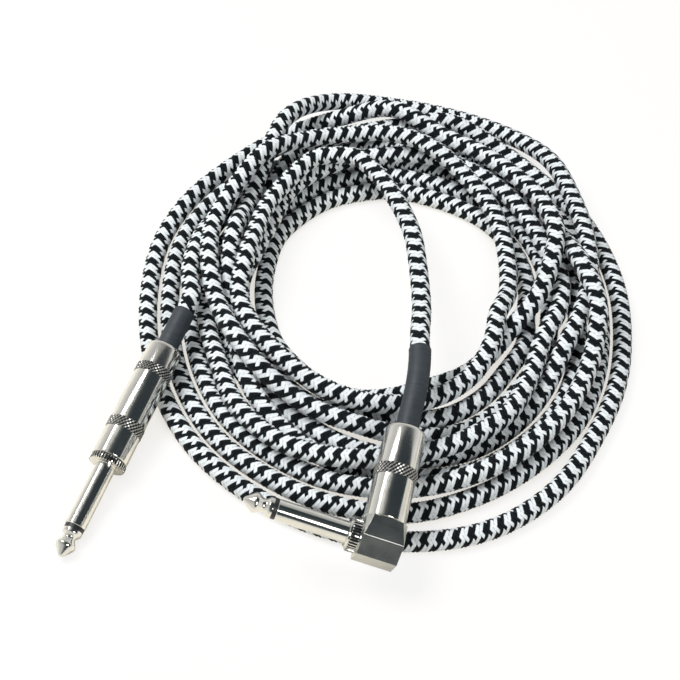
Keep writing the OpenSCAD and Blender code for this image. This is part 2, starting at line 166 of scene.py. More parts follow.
CORD_D = 6.2
CORD_REST = 2.5
COIL = (48.0, 66.0)
LOOP_ROOM = 1.05
SETTLE_ROUNDS = 120
PER_LOOP = 24
FIRST_ANGLE = 120
STATIONS = 10 * PER_LOOP + 5
STATION_ANGLE = 15
TABLE_ANGLE = 105
STATIONS_PER_ENTRY = 3
# The way in which the cord enters its first loop, in degrees
FIRST_HEADING = 190
# Parts of a step: pull to the wanted reach, weight, stiffness of the cord and of a contact
SETTLE_PULL = 0.06
SETTLE_WEIGHT = 0.25
SETTLE_BEND = 0.2
SETTLE_CONTACT = 0.4
# The share of the rounds after which only the contacts push
SETTLE_FADE = 0.75
# How much lower each loop starts than the one before it, in ranks, and a rank's height in diameters
RANK_LEAN = 0.02
RANK_LIFT = 0.9
# How finely the route is drawn, how often it is rounded off, and the waves in its lay
FINE_STEP = 0.5
ROUNDING_TIMES = 24
LAY_WAVES = 7
FIRST_HEIGHT = 17.5
LAST_HEIGHT = 14.5
# How far each loop lies from the coil's middle, in eight directions 45 degrees apart, from 105 degrees
LOOP_REACH = (
    (58, 52, 55, 57, 50, 38, 38, 50),
    (65, 65, 61, 61, 63, 53, 51, 51),
    (54, 55, 66, 75, 69, 56, 53, 56),
    (58, 53, 53, 56, 56, 45, 44, 48),
    (50, 49, 48, 50, 42, 44, 55, 61),
    (79, 85, 84, 94, 97, 79, 73, 75),
    (72, 62, 61, 66, 69, 61, 66, 83),
    (86, 61, 59, 68, 76, 64, 58, 61),
    (62, 69, 72, 79, 80, 70, 58, 62),
    (69, 77, 79, 86, 83, 72, 66, 68),
    (76, 68, 71),
)
# Which loop lies over which, in the same directions
LOOP_RANK = (
    (4, 5, 5, 4, 1, 3, 3, 4),
    (3, 3, 3, 2, 0, 0, 0, 1),
    (0, 0, 1, 3, 2, 1, 1, 1),
    (2, 1, 1, 1, 0, 0, 0, 0),
    (1, 0, 0, 0, 0, 2, 3, 3),
    (1, 1, 1, 0, 0, 0, 0, 0),
    (1, 0, 0, 0, 0, 1, 1, 0),
    (2, 2, 1, 1, 0, 0, 0, 0),
    (0, 0, 0, 1, 1, 2, 1, 1),
    (0, 0, 0, 0, 0, 0, 0, 0),
    (0, 1, 1),
)
# The free stretch from the right-angle plug's sleeve to the coil
ANGLED_LEAD = (
    (53, 30.5, 24),
    (54, 41, 21.5),
    (54, 53, 20),
    (53.5, 65, 19),
    (52.5, 76, 18.5),
    (50, 86, 18),
    (46.5, 95, 18),
    (42.5, 103, 18),
    (38.5, 109, 18),
    (34, 114, 18),
)

# The plugs' own frames: prong along -Z from its shoulder, cord along +Z
PRONG_R = 3.175
TIP_RING = (-22.4, -21.1)
TIP_BASE_R = 3.0
BULB_BACK, BULB_D, STRAIGHT_RISE = 27.4, 6.1, 8.25
BULB_DROP = BULB_BACK * math.sin(math.radians(STRAIGHT_RISE))
SHOULDER_Z = BULB_DROP + BULB_D / 2 * math.cos(math.radians(STRAIGHT_RISE))
STRAIGHT_SHELL_R, STRAIGHT_SHELL = 5.7, (2.2, 43.7)
STRAIGHT_SLEEVE = (37.7, 58.1)
ANGLED_REACH = 9.8
BLOCK_END = 5.7
ANGLED_SHELL_R, ANGLED_SHELL = 6.25, (0.2, 30.2)
ANGLED_SLEEVE_START = 22.2
SLEEVE_TURN = 40.5
SLEEVE_BEND, SLEEVE_BEND_R, SLEEVE_LEAN = 18.5, 58.0, 24.0
SLEEVE_R = 3.5
MOUTH_R = 3.85
# How far below the block's top its sloping facets start
BLOCK_FACET = 1.8
# The block's outline across the shell's axis: distance along it, half widths at the top and below,
# top and bottom
BLOCK_SECTIONS = (
    (5.7, 4.4, 6.1, 5.9, -5.6),
    (3.2, 4.9, 6.1, 6.1, -5.6),
    (-0.9, 6.05, 6.1, 5.7, -5.6),
    (-4.2, 6.05, 6.1, 3.2, -5.6),
    (-5.8, 6.05, 6.1, 1.9, -4.6),
)
# How far inside the shell's face a knurled band has its seat, its end rows and its diamonds' feet
KNURL_SEAT, KNURL_EDGE, KNURL_FOOT = 0.5, 0.15, 0.02

# The camera: what it looks at, its angle above the floor and its distance in millimetres, its focal length
# and the picture's width in pixels
CAMERA_TARGET, CAMERA_RISE, CAMERA_DISTANCE = (28, 46, 0), 52, 453
FOCAL_PIXELS, PICTURE_PIXELS, SENSOR = 1361, 680, 36

# The lamps, in metres: each one's place and its width
KEY_PLACE, KEY_SIZE = (-0.36, 0.22, 0.8), 0.5
FRONT_PLACE, FRONT_SIZE = (0.35, -0.55, 0.6), 0.4
LAMP_TARGET = (0.03, 0.04, 0)
FRONT_SHARE = 0.35
FLOOR_HALF = 4
FLOOR_DROP = 0.05 * MM
NOISE_ROUGHNESS = 0.55
# Colour of the painted shade deep in the plating's grooves
GROOVE_SHADE = tint(28, 32, 36)

# The dark ceiling that polished metal shows, in metres
CEILING_REACH, CEILING_FORWARD, CEILING_HEIGHT = 2.3, -2.0, 0.7
CEILING_MIDDLE, CEILING_HALF = 1.0, 1.5


def turned(x, y, z):
    """Turns about X, then Y, then Z, in degrees."""
    return (
        Matrix.Rotation(math.radians(z), 4, "Z")
        @ Matrix.Rotation(math.radians(y), 4, "Y")
        @ Matrix.Rotation(math.radians(x), 4, "X")
    )


STRAIGHT = Matrix.Translation((-43.2, -8.1, SHOULDER_Z)) @ turned(STRAIGHT_RISE - 90, 0, -21.3)
ANGLED = Matrix.Translation((39.2, -39.7, 16)) @ turned(10, 16.5, -11)
ANGLED_PRONG = ANGLED @ Matrix.Translation((-ANGLED_REACH, 0, 0)) @ turned(0, 90, 0)
BARREL = ANGLED @ Matrix.Translation((0, BLOCK_END, 0)) @ turned(-90, 0, 0)


def spline(p, q, r, s, u):
    """A point between q and r on a smooth curve through p, q, r and s."""
    return (2 * q + (r - p) * u + (2 * p - 5 * q + 4 * r - s) * u * u + (3 * q - p - 3 * r + s) * u**3) / 2


def along(row, place):
    k, last = int(place), len(row) - 1
    return spline(row[max(k - 1, 0)], row[k], row[min(k + 1, last)], row[min(k + 2, last)], place - k)


def push(gap, lift, over, room):
    """How far one strand pushes another, sideways and upwards."""
    if abs(gap) >= room:
        return 0.0, 0.0
    if abs(gap) < room / 2:
        return 0.0, over * max(0.0, math.sqrt(room * room - gap * gap) - over * lift)
    far = math.hypot(gap, lift)
    if far >= room:
        return 0.0, 0.0
    return gap * (room - far) / far, lift * (room - far) / far


def settled():
    """The coil's stations, each a distance from its middle and a height, once its loops have settled."""
    reach_row = [value for row in LOOP_REACH for value in row]
    rank_row = [value for row in LOOP_RANK for value in row]
    last = STATIONS - 1
    wanted, rank = [], []
    for i in range(STATIONS):
        place = (i + (FIRST_ANGLE - TABLE_ANGLE) / STATION_ANGLE) / STATIONS_PER_ENTRY
        k = min(int(place), len(rank_row) - 2)
        wanted.append(along(reach_row, place))
        entry = rank_row[k] + (rank_row[k + 1] - rank_row[k]) * (place - k)
        rank.append(entry - RANK_LEAN * (i // PER_LOOP))
    room = CORD_D + LOOP_ROOM
    spots = [(wanted[i], CORD_REST + rank[i] * CORD_D * RANK_LIFT) for i in range(STATIONS)]
    spots[0], spots[last] = (wanted[0], FIRST_HEIGHT), (wanted[last], LAST_HEIGHT)
    for turn in range(SETTLE_ROUNDS):
        fade = max(0.0, 1 - turn / (SETTLE_FADE * SETTLE_ROUNDS))
        fresh = list(spots)
        for i in range(1, last):
            out, up = 0.0, 0.0
            for j in range(i % PER_LOOP, STATIONS, PER_LOOP):
                if j == i or abs(spots[j][0] - spots[i][0]) >= 2 * room:
                    continue
                for k in (-1, 0, 1):
                    if j + k < 0 or j + k > last:
                        continue
                    gap = (spots[i][0] + spots[i + k][0] - spots[j][0] - spots[j + k][0]) / 2
                    lift = (spots[i][1] + spots[i + k][1] - spots[j][1] - spots[j + k][1]) / 2
                    over = 1 if rank[i] + rank[i + k] > rank[j] + rank[j + k] else -1
                    part = push(gap, lift, over, room)
                    weight = SETTLE_CONTACT if k == 0 else SETTLE_CONTACT / 2
                    out += weight * part[0]
                    up += weight * part[1]
            level = (spots[i - 1][1] + spots[i + 1][1]) / 2
            reach = spots[i][0] + out + SETTLE_PULL * fade * (wanted[i] - spots[i][0])
            height = spots[i][1] + up + fade * (SETTLE_BEND * (level - spots[i][1]) - SETTLE_WEIGHT)
            fresh[i] = (reach, max(CORD_REST, height))
        spots = fresh
    return spots


def sleeve_bend(share):
    """A point on the bend of the right-angle plug's sleeve, from 0 at its start to 1 at its end."""
    bend, lean = math.radians(SLEEVE_BEND * share), math.radians(SLEEVE_LEAN)
    off, ahead = SLEEVE_BEND_R * (1 - math.cos(bend)), SLEEVE_BEND_R * math.sin(bend)
    return BARREL @ Vector((-off * math.sin(lean), off * math.cos(lean), SLEEVE_TURN + ahead))


def cord_route():
    """The cord's line from inside the right-angle plug's sleeve to the straight plug's sleeve."""
    route = [BARREL @ Vector((0, 0, SLEEVE_TURN))] + [sleeve_bend(step / 5) for step in range(1, 6)]
    route += [Vector(point) for point in ANGLED_LEAD]
    coil = []
    for i, (reach, height) in enumerate(settled()):
        angle = math.radians(FIRST_ANGLE + STATION_ANGLE * i)
        coil.append(Vector((COIL[0] + reach * math.cos(angle), COIL[1] + reach * math.sin(angle), height)))
    heading = math.radians(FIRST_HEADING)
    first = Vector((math.cos(heading), math.sin(heading), 0))
    route.append(coil[0] - 4 * first)
    route += coil
    route.append(coil[-1] + Vector((0, -4, 0)))
    route.append(STRAIGHT @ Vector((0, 0, STRAIGHT_SLEEVE[1] + 5)))
    route.append(STRAIGHT @ Vector((0, 0, STRAIGHT_SLEEVE[1])))
    return route


def evenly(route, step, stretch):
    """The route as points about one step apart, rounded off. The steps grow and shrink in waves along it."""
    fine = []
    ends = [2 * route[0] - route[1]] + route + [2 * route[-1] - route[-2]]
    for p, q, r, s in zip(ends, ends[1:], ends[2:], ends[3:]):
        reach = (r - q).length
        before = q + (p - q).normalized() * reach
        after = r + (s - r).normalized() * reach
        count = max(2, math.ceil(reach / FINE_STEP))
        fine += [spline(before, q, r, after, k / count) for k in range(count)]
    fine.append(route[-1])
    for _ in range(ROUNDING_TIMES):
        fine = [fine[0]] + [(a + 2 * b + c) / 4 for a, b, c in zip(fine, fine[1:], fine[2:])] + [fine[-1]]
    lengths = [0.0]
    for a, b in zip(fine, fine[1:]):
        lengths.append(lengths[-1] + (b - a).length)
    count, waves = round(lengths[-1] / step), LAY_WAVES * 2 * math.pi
    points, k = [], 0
    for n in range(count + 1):
        want = lengths[-1] * (n / count + stretch / waves * math.sin(waves * n / count))
        while k < len(fine) - 2 and lengths[k + 1] < want:
            k += 1
        points.append(fine[k].lerp(fine[k + 1], (want - lengths[k]) / (lengths[k + 1] - lengths[k])))
    return points, lengths[-1]


# ------------------------ shaders


class Value:
    """A socket that sums, products and other maths can be written on."""

    def __init__(self, shader, socket):
        self.shader, self.socket = shader, socket

    def maths(self, operation, *others):
        return self.shader.node("ShaderNodeMath", {"operation": operation}, dict(enumerate((self, *others))))

    def __add__(self, other):
        return self.maths("ADD", other)

    def __sub__(self, other):
        return self.maths("SUBTRACT", other)

    def __rsub__(self, other):
        return self.shader.node("ShaderNodeMath", {"operation": "SUBTRACT"}, {0: other, 1: self})

    def __mul__(self, other):
        return self.maths("MULTIPLY", other)

    __radd__ = __add__
    __rmul__ = __mul__

    def ramp(self, low, high, start, end):
        """Goes from start to end as the value goes from low to high."""
        settings = {"clamp": True}
        return self.shader.node(
            "ShaderNodeMapRange", settings, {"Value": self, 1: low, 2: high, 3: start, 4: end}
        )


class Shader:
    """A material's nodes round one Principled shader."""

    def __init__(self, name, colour, roughness, metallic=0.0, **fixed):
        self.material = bpy.data.materials.new(name)
        self.material.use_nodes = True
        self.material.diffuse_color = (*colour, 1)
        self.tree = self.material.node_tree
        self.surface = self.tree.nodes["Principled BSDF"]
        self.set(**{"Base Color": (*colour, 1), "Roughness": roughness, "Metallic": metallic, **fixed})

    def set(self, **sockets):
        for name, value in sockets.items():
            self.feed(self.surface.inputs[name], value)
        return self

    def feed(self, socket, value):
        if isinstance(value, Value):
            self.tree.links.new(value.socket, socket)
        else:
            socket.default_value = value

    def node(self, kind, settings=None, inputs=None, output=0):
        made = self.tree.nodes.new(kind)
        for name, value in (settings or {}).items():
            setattr(made, name, value)
        for name, value in (inputs or {}).items():
            self.feed(made.inputs[name], value)
        return Value(self, made.outputs[output])

    def place(self, scale=(1, 1, 1), uv=False):
        """Object coordinates in metres, or the piece's own UV map, scaled."""
        source = self.node("ShaderNodeTexCoord", output="UV" if uv else "Object")
        return self.node("ShaderNodeMapping", {}, {"Vector": source, "Scale": scale})

    def groove(self):
        """How deep in a groove a place lies: 0 on the surface and 1 at the bottom."""
        return self.node("ShaderNodeAttribute", {"attribute_name": "Groove"}, output="Fac")

    def noise(self, where, scale, detail):
        inputs = {"Vector": where, "Scale": scale, "Detail": detail, "Roughness": NOISE_ROUGHNESS}
        return self.node("ShaderNodeTexNoise", {}, inputs)

    def blend(self, amount, low, high):
        """A colour between low and high."""
        ends = {
            6: low if isinstance(low, Value) else (*low, 1),
            7: high if isinstance(high, Value) else (*high, 1),
        }
        return self.node("ShaderNodeMix", {"data_type": "RGBA"}, {0: amount, **ends}, output=2)

    def bump(self, height, distance, strength=1.0):
        inputs = {"Height": height, "Distance": distance, "Strength": strength}
        self.set(Normal=self.node("ShaderNodeBump", {}, inputs))
        return self


def scaled(colour, factor):
    return tuple(min(1.0, part * factor) for part in colour)


def yarn(name, colour, edge, start, fibre_depth):
    """Spun cotton: fibres along each yarn, painted shade towards the yarn's edges, a soft sheen and no gloss.
    """
    sheen = {"Sheen Weight": 0.05, "Sheen Roughness": 0.5, "Specular IOR Level": 0.1}
    made = Shader(name, colour, 0.9, **sheen)
    fibre = made.noise(made.place(scale=(0.35, 2.6, 1), uv=True), 1.6, detail=2)
    cloud = made.noise(made.place(), 160, detail=2)
    shade = (fibre * 0.8 + cloud * 0.2).ramp(0.36, 0.62, 0, 1)
    worn = made.blend(shade, scaled(colour, fibre_depth), colour)
    # Painted shade: deep between the yarns the colour goes to the edge colour
    made.set(**{"Base Color": made.blend(made.groove().ramp(start, 1, 0, 1), worn, edge)})
    return made.bump(fibre, 0.1 * MM, 0.8).material


def nickel(name, colour, roughness):
    """Bright plating with fine turning marks round it, faint smears from handling, and duller grooves
    darkened with painted shade.
    """
    made = Shader(name, colour, roughness, metallic=1.0)
    smear = made.noise(made.place(), 160, detail=4)
    lines = made.noise(made.place(scale=(0.4, 9, 1), uv=True), 1.0, detail=3)
    groove = made.groove()
    plated = made.blend(smear.ramp(0.35, 0.75, 0, 1), colour, scaled(colour, 0.9))
    polish = (smear * 0.5 + lines * 0.5).ramp(0.35, 0.65, roughness * 0.7, roughness * 1.5)
    # Painted shade: the plating darkens deep in its grooves, which are also rougher
    made.set(**{"Base Color": made.blend(groove.ramp(0.2, 0.55, 0, 0.97), plated, GROOVE_SHADE)})
    made.set(Roughness=polish + groove * 0.3)
    return made.bump(lines, 0.006 * MM, 0.5).material


def cast(name, colour, roughness):
    """Plating over a cast face: duller, with a fine pitted grain."""
    made = Shader(name, colour, roughness, metallic=1.0)
    pits = made.noise(made.place(), 900, detail=4)
    smear = made.noise(made.place(), 130, detail=3)
    made.set(**{
        "Base Color": made.blend(smear.ramp(0.3, 0.7, 0, 1), scaled(colour, 0.9), colour),
        "Roughness": smear.ramp(0.3, 0.7, roughness * 0.85, roughness * 1.2),
    })
    return made.bump(pits, 0.012 * MM, 0.6).material


def moulded(name, colour, roughness, grain=0.02 * MM, **fixed):
    """Plastic with a faint grain."""
    made = Shader(name, colour, roughness, **fixed)
    grit = made.noise(made.place(), 1600, detail=3)
    soft = made.noise(made.place(), 120, detail=2)
    made.set(**{"Base Color": made.blend(soft.ramp(0.3, 0.7, 0, 1), scaled(colour, 0.86), colour)})
    made.set(Roughness=soft.ramp(0.3, 0.7, roughness * 0.85, roughness * 1.15))
    return made.bump(grit, grain).material


def shrunk(name, colour):
    """Heat-shrink tube: matt, drawn into faint uneven rings by the braid under it."""
    made = Shader(name, colour, 0.55, **{"Specular IOR Level": 0.4})
    rings = made.noise(made.place(scale=(1.5, 1.1, 1), uv=True), 1.0, detail=2)
    grit = made.noise(made.place(), 1900, detail=3)
    soft = made.noise(made.place(), 150, detail=2)
    shade = (rings * 0.6 + soft * 0.4).ramp(0.3, 0.7, 0, 1)
    made.set(**{"Base Color": made.blend(shade, scaled(colour, 0.75), scaled(colour, 1.15))})
    made.set(Roughness=soft.ramp(0.3, 0.7, 0.48, 0.66))
    return made.bump(rings * 0.85 + grit * 0.15, 0.25 * MM, 0.8).material


# ------------------------ meshes


def finish_piece(bm, name, body, materials, crease=180):
    """Closes a mesh up and hangs it on its body. Edges sharper than the crease stay sharp."""
    bmesh.ops.remove_doubles(bm, verts=bm.verts, dist=0.001 * MM)
    bmesh.ops.holes_fill(bm, edges=[edge for edge in bm.edges if edge.is_boundary], sides=0)
    bmesh.ops.recalc_face_normals(bm, faces=bm.faces)
    mesh = bpy.data.meshes.new(name)
    bm.to_mesh(mesh)
    bm.free()
    for polygon in mesh.polygons:
        polygon.use_smooth = True
    if crease < 180:
        mesh.set_sharp_from_angle(angle=math.radians(crease))
    for material in materials:
        mesh.materials.append(material)
    piece = bpy.data.objects.new(name, mesh)
    bpy.context.scene.collection.objects.link(piece)
    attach(piece, body)
    return piece


def turn_outline(bm, outline, steps):
    """Turns an outline round Z. Its points are distances from Z and along it.

    An outline that starts on Z makes a solid, and any other makes a ring.
    """
    verts = [bm.verts.new((radius, 0, height)) for radius, height in outline]
    edges = [bm.edges.new(pair) for pair in zip(verts, verts[1:])]
    if outline[0][0] > 0:
        edges.append(bm.edges.new((verts[-1], verts[0])))
    turn = {"cent": (0, 0, 0), "axis": (0, 0, 1), "angle": 2 * math.pi, "steps": steps, "use_merge": True}
    bmesh.ops.spin(bm, geom=verts + edges, **turn)


def wrap(bm):
    """Gives each face its place round Z, in turns, and along Z, in millimetres, as its UV map."""
    uv = bm.loops.layers.uv.new("Round")
    for face in bm.faces:
        centre = face.calc_center_median()
        middle = math.atan2(centre.y, centre.x)
        for loop in face.loops:
            x, y, z = loop.vert.co
            off = 0.0
            if math.hypot(x, y) > 0.01:
                off = (math.atan2(y, x) - middle + math.pi) % (2 * math.pi) - math.pi
            loop[uv].uv = ((middle + off) / 2 / math.pi, z)


def cut_teeth(bm, rim, depth, teeth):
    """Cuts teeth into what stands out past the rim. The piece was turned in four steps for each tooth."""

    def in_slot(vert):
        step = round(math.atan2(vert.co.y, vert.co.x) / (2 * math.pi) * 4 * teeth)
        return math.hypot(vert.co.x, vert.co.y) > rim and step % 4 in (0, 3)

    # The slots are marked as grooves, where the plating paints shade
    mark_grooves(bm, in_slot)
    for vert in bm.verts:
        if in_slot(vert):
            vert.co.xy *= 1 - depth / math.hypot(vert.co.x, vert.co.y)


def stand(bm, place):
    """Moves a piece made in millimetres round Z to its place, in metres."""
    bmesh.ops.transform(bm, matrix=Matrix.Scale(MM, 4) @ place, verts=bm.verts)


def turned_piece(name, place, outlines, steps, body, material, shape=None):
    """A piece turned from its outlines. Shape is called on the mesh before it is moved to its place."""
    bm = bmesh.new()
    for outline in outlines:
        turn_outline(bm, outline, steps)
    bmesh.ops.remove_doubles(bm, verts=bm.verts, dist=0.001)
    wrap(bm)
    if shape:
        shape(bm)
    stand(bm, place)
    return finish_piece(bm, name, body, [material], crease=35)


def tube(inner, outer, start, end, edge=0.12):
    """The outline of a ring or tube with its outer edges broken."""
    return [
        (inner, start),
        (outer - edge, start),
        (outer, start + edge),
        (outer, end - edge),
        (outer - edge, end),
        (inner, end),
    ]


def threaded(inner, outer, start, end, pitch=1.0, depth=0.3):
    """The outline of a threaded stub, as a row of crests."""
    outline = [(inner, start), (outer - depth, start)]
    for crest in range(int((end - start) / pitch)):
        foot = start + crest * pitch
        outline += [(outer - depth, foot + 0.1), (outer, foot + 0.38)]
        outline += [(outer, foot + 0.52), (outer - depth, foot + 0.8)]
    return outline + [(outer - depth, end), (inner, end)]


def mark_grooves(bm, depth):
    """Notes for the shaders how deep in a groove each vertex lies."""
    layer = bm.verts.layers.float.new("Groove")
    for vert in bm.verts:
        vert[layer] = depth(vert)


def lattice(strands, rows):
    """A flat sheet in which two families of strands cross: x counts one family and y the other.

    It closes into a tube where x = strands meets x = 0, and runs from y - x = 0 to y - x = rows.
    """
    bm = bmesh.new()
    height = rows + strands
    bmesh.ops.create_grid(bm, x_segments=2 * strands, y_segments=2 * height, size=1)
    for vert in bm.verts:
        vert.co = (round(strands * (vert.co.x + 1)) / 2, round(height * (vert.co.y + 1)) / 2, 0)
    for offset, side in ((0, {"clear_inner": True}), (rows, {"clear_outer": True})):
        geometry = bm.verts[:] + bm.edges[:] + bm.faces[:]
        plane = {"plane_co": (0, offset, 0), "plane_no": (-1, 1, 0), **side}
        bmesh.ops.bisect_plane(bm, geom=geometry, dist=0.001, **plane)
    return bm


def on_top(x, y):
    """Whether the first family lies over the second where strands x and y cross: over two, then under two."""
    return (x + y) % 4 < 2


def crown(x, y):
    """How high the braid stands at half-strand x, y: 1 on a yarn's back and 0 in a corner between yarns."""
    if x % 2 and y % 2:
        return 0.0
    if not x % 2 and not y % 2:
        return 1.0
    if x % 2:
        backs = sum(not on_top((x + step) // 2, y // 2) for step in (-1, 1))
    else:
        backs = sum(on_top(x // 2, (y + step) // 2) for step in (-1, 1))
    return (0.12, 0.42, 0.96)[backs]


def wander(place, most):
    """How far the braid has turned about the cord's line at a place along it, in millimetres."""
    return most * (0.6 * math.sin(place / 61) + 0.4 * math.sin(place / 23 + 1.3))


def braid(settings, name, points, start, end):
    """A stretch of cord as a braid of two families of yarns, from one half-row of crossings to another."""
    half_row = settings.lay / MM / settings.yarns / 4
    bm = lattice(settings.yarns, (end - start) // 2)
    uv = bm.loops.layers.uv.new("Yarn")
    for face in bm.faces:
        middle = face.calc_center_median()
        x, y = round(middle.x), round(middle.y) + start // 2
        first = on_top(x, y)
        face.material_index = (x // 2 if first else (y + 2) // 2) % 2
        for loop in face.loops:
            co = loop.vert.co
            off_x, off_y = co.x - x, co.y + start // 2 - y
            loop[uv].uv = (co.y, off_x + 2 * x) if first else (co.x, off_y + 2 * y)
    frames = []
    for k in range(start, end + 1):
        way = (points[min(k + 1, len(points) - 1)] - points[max(k - 1, 0)]).normalized()
        side = way.cross(Vector((0, 0, 1))).normalized()
        frames.append((points[k] * MM, side, side.cross(way), wander(k * half_row, settings.wander)))
    radius, relief = settings.diameter / 2, settings.relief
    # How deep between the yarns each vertex lies, where the yarn shaders paint shade
    mark_grooves(bm, lambda vert: 1 - crown(round(2 * vert.co.x), round(2 * vert.co.y) + start))
    for vert in bm.verts:
        x, y = round(2 * vert.co.x), round(2 * vert.co.y)
        middle, side, up, turn = frames[min(y - x, len(frames) - 1)]
        angle = math.pi * (vert.co.x + vert.co.y + start // 2 + 0.5) / settings.yarns + turn
        out = radius + relief * (crown(x, y + start) - 0.75)
        vert.co = middle + out * (math.cos(angle) * side + math.sin(angle) * up)
        vert.co.z = max(vert.co.z, 0)
    # Each yarn's second colour is the painted shade between the yarns
    yarns = [
        yarn("pale_yarn", settings.pale, tint(186, 194, 200), 0.6, 0.74),
        yarn("dark_yarn", settings.dark, tint(7, 9, 11), 0.2, 0.4),
    ]
    return finish_piece(bm, name, "cable", yarns)


def diamond(x, y):
    """How high a knurl stands at half-row x, y. Its diamonds run together more one way than the other."""
    return ((1, 0.62), (0.35, 0))[x % 2][y % 2]


def knurl(name, place, radius, start, end, settings, body, material):
    """A knurled band round a shell: rows of small diamonds between two groove lines."""
    pitch = settings.knurl_pitch / MM
    teeth = round(2 * math.pi * radius / pitch)
    rows = 2 * round((end - start) / pitch)
    bm = lattice(teeth, rows)
    # How deep between the diamonds each vertex lies, where the plating paints shade
    mark_grooves(bm, lambda vert: 1 - diamond(round(2 * vert.co.x), round(2 * vert.co.y)))
    for vert in bm.verts:
        x, y = round(2 * vert.co.x), round(2 * vert.co.y)
        along_band = (y - x) / (2 * rows)
        edge = along_band < 0.001 or along_band > 0.999
        height = diamond(x, y)
        angle = math.pi * (vert.co.x + vert.co.y) / teeth
        raised = radius - KNURL_FOOT + settings.knurl_depth / MM * height
        out = radius - KNURL_EDGE if edge else raised
        vert.co = (out * math.cos(angle), out * math.sin(angle), start + (end - start) * along_band)
    bmesh.ops.remove_doubles(bm, verts=bm.verts, dist=0.001)
    rims = bmesh.ops.extrude_edge_only(bm, edges=[edge for edge in bm.edges if edge.is_boundary])["geom"]
    for vert in rims:
        if isinstance(vert, bmesh.types.BMVert):
            vert.co.xy *= (radius - KNURL_SEAT) / math.hypot(vert.co.x, vert.co.y)
    bmesh.ops.bridge_loops(bm, edges=[edge for edge in bm.edges if edge.is_boundary])
    wrap(bm)
    stand(bm, place)
    return finish_piece(bm, name, body, [material], crease=20)


# ------------------------ operators


class CABLE_OT_camera(bpy.types.Operator):
    """Place the camera"""

    bl_idname = "cable.camera"
    bl_label = "Camera"

    def execute(self, context):
        target = Vector(CAMERA_TARGET) * MM
        rise, distance = math.radians(CAMERA_RISE), CAMERA_DISTANCE * MM
        data = bpy.data.cameras.new("camera")
        data.sensor_width = SENSOR
        data.lens = SENSOR * FOCAL_PIXELS / PICTURE_PIXELS
        data.clip_start = 0.01
        camera = bpy.data.objects.new("camera", data)
        camera.location = target + distance * Vector((0, -math.cos(rise), math.sin(rise)))
        camera.rotation_euler = (math.pi / 2 - rise, 0, 0)
        context.scene.collection.objects.link(camera)
        context.scene.camera = camera
        return {"FINISHED"}


class CABLE_OT_cord(bpy.types.Operator):
    """Braid the cord along its route, in three equal stretches"""

    bl_idname = "cable.cord"
    bl_label = "Cord"

    def execute(self, context):
        settings = context.scene.cable_cord
        points, length = evenly(cord_route(), settings.lay / MM / settings.yarns / 4, settings.stretch)
        third = (len(points) - 1) // 6 * 2
        last = (len(points) - 1) // 2 * 2
        stretches = (
            ("cord_from_angled_plug", 0, third, ("lead_angled",)),
            ("cord_coiled", third, 2 * third, ("cord_coil",)),
            ("cord_to_straight_plug", 2 * third, last, ("lead_straight",)),
        )
        for name, start, end, nodes in stretches:
            piece = braid(settings, name, points, start, end)
            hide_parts(*nodes)
            path = [points[k] * MM for k in (*range(start, end, 3), end)]
            length * MM * (end - start) / last
        return {"FINISHED"}


def tip_outline(rod_end):
    """A prong's tip: point, bulb, waist and base, with the rod behind it as far as its rivet."""
    return [
        (0, -31),
        (0.5, -30.95),
        (0.8, -30.75),
        (1.1, -30.35),
        (2.8, -28.15),
        (3.0, -27.75),
        (3.05, -27.4),
        (3.02, -27.05),
        (2.88, -26.75),
        (2.15, -25.6),
        (1.98, -25.2),
        (1.95, -24.9),
        (1.98, -24.6),
        (2.12, -24.35),
        (2.75, -23.75),
        (2.93, -23.55),
        (3.0, -23.3),
        (TIP_BASE_R, TIP_RING[0]),
        (1, TIP_RING[0]),
        (1, rod_end),
        (1.6, rod_end),
        (1.3, rod_end + 0.7),
        (0, rod_end + 0.7),
    ]


def shell_outline(radius, start, end, thread_len=6):
    """A screw-on shell: threaded bore, room for the liner, and a rounded end with a mouth for the cord."""
    bore, mouth_start = 4.45, end - 3
    return [
        (bore + 0.2, start),
        (radius - 0.45, start),
        (radius - 0.2, start + 0.08),
        (radius - 0.05, start + 0.25),
        (radius, start + 0.5),
        (radius, end - 1.5),
        (radius - 0.1, end - 1.0),
        (radius - 0.35, end - 0.5),
        (radius - 0.75, end - 0.15),
        (radius - 1.2, end),
        (MOUTH_R + 0.2, end),
        (MOUTH_R, end - 0.2),
        (MOUTH_R, mouth_start),
        (4.9, mouth_start),
        (4.9, start + thread_len + 0.6),
        (bore, start + thread_len + 0.6),
        (bore, start + 0.2),
    ]


def sleeve_outline(start, end):
    """Heat-shrink tube over the cord: drawn in a little between the yarns, and rolled at its open end."""
    inner, count = 3.1, round((end - start) / 0.62)
    outline = [(inner, start), (SLEEVE_R, start)]
    for k in range(1, count):
        dip = 0.05 * (k % 2) + 0.03 * (k % 3 == 0)
        outline.append((SLEEVE_R - dip, start + (end - start - 0.9) * k / count))
    outline += [(SLEEVE_R + 0.02, end - 0.7), (SLEEVE_R + 0.03, end - 0.35), (SLEEVE_R - 0.08, end - 0.08)]
    outline += [(SLEEVE_R - 0.22, end), (inner, end)]
    return outline + [(inner, end - (end - start) * k / count) for k in range(1, count)]


def bend_sleeve(bm):
    """Bends whatever lies past the end of the straight part, as the cord goes."""
    lean = math.radians(SLEEVE_LEAN)
    over = Vector((-math.sin(lean), math.cos(lean), 0))
    for vert in bm.verts:
        if vert.co.z > SLEEVE_TURN:
            bend, rise = (vert.co.z - SLEEVE_TURN) / SLEEVE_BEND_R, vert.co.dot(over)
            beside = Vector((vert.co.x, vert.co.y, 0)) - rise * over
            off = SLEEVE_BEND_R - rise
            vert.co = beside + (SLEEVE_BEND_R - off * math.cos(bend)) * over
            vert.co.z = SLEEVE_TURN + off * math.sin(bend)


